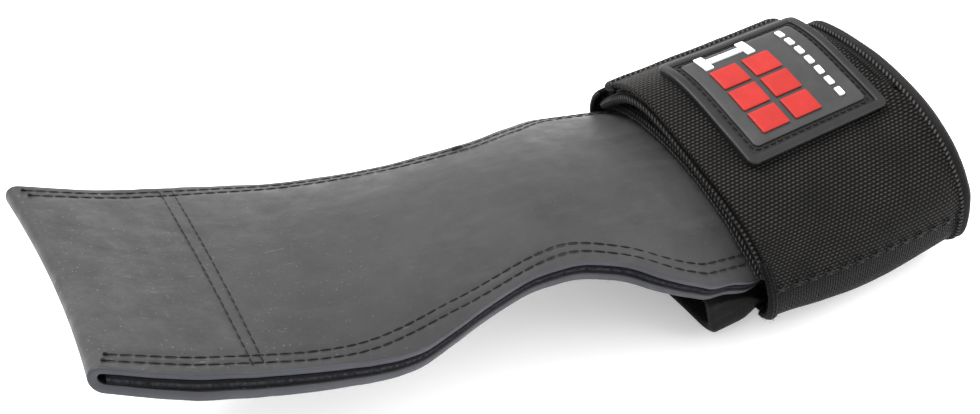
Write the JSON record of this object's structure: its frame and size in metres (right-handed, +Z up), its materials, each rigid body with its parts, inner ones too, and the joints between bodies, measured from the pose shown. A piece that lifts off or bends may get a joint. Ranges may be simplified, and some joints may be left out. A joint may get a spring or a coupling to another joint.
{
  "type": "lifting grip",
  "caption": "Weightlifting hand grip: a folded rubber palm flap sewn into a padded wrist cuff, closed by a hook-and-loop strap that carries a rubber label.",
  "frame": {"origin": "on the cuff's flat underside, below the centre line of the wrist opening, at the middle of the strap's length", "axes": "+X along the cuff from the flap side to the arm side, +Y across the cuff towards the strap's free end, +Z up from the underside"},
  "size_m": [0.2495, 0.1183, 0.0866],
  "materials": {
    "rubber": "matte moulded rubber sheet, lightly scuffed",
    "rubber_under": "matte rubber sheet, underside layer",
    "felt": "woven core fabric",
    "webbing": "ribbed webbing",
    "neoprene": "padded fabric with a smooth face",
    "binding": "knitted edge binding",
    "thread": "sewing thread",
    "hook_loop": "hook and loop tape",
    "label_rubber": "moulded soft rubber label",
    "label_red": "raised red rubber",
    "label_white": "raised white rubber"
  },
  "bodies": {
    "cuff": {"grip_sheet_heel": "rubber", "under_sheet_heel": "rubber_under", "felt_core_heel": "felt", "heel_edge_stitching": "thread", "front_binding": "binding", "wrist_pad": "neoprene", "base_webbing": "webbing", "wrist_strap": "webbing", "strap_edge_binding": "binding", "closure_panel": "neoprene", "panel_binding": "binding", "loop_tape": "hook_loop", "rear_binding": "neoprene", "rear_piping": "binding", "seam_stitching": "thread"},
    "palm_flap": {"grip_sheet_palm": "rubber", "felt_core_palm": "felt", "palm_edge_stitching": "thread", "palm_cross_stitching": "thread"},
    "strap_end": {"strap_tail": "webbing", "tail_end_binding": "binding", "hook_tape": "hook_loop", "label_plate": "label_rubber", "label_rim": "label_rubber", "label_field": "label_rubber", "label_stitching": "thread", "label_bars": "label_red", "label_dumbbell": "label_white", "label_dashes": "label_white"}
  },
  "joints": [
    {"name": "flap_bend", "type": "hinge", "parent": "cuff", "child": "palm_flap", "pos_m": [-0.08465, 0.01234, 0.03842], "axis": [0.0438, 0.9824, -0.1815], "range_deg": [-40, 40], "stiffness_Nm_per_rad": 1.5},
    {"name": "strap_peel", "type": "hinge", "parent": "cuff", "child": "strap_end", "pos_m": [0, -0.024, 0.04275], "axis": [1, 0, 0], "range_deg": [0, 110]}
  ]
}
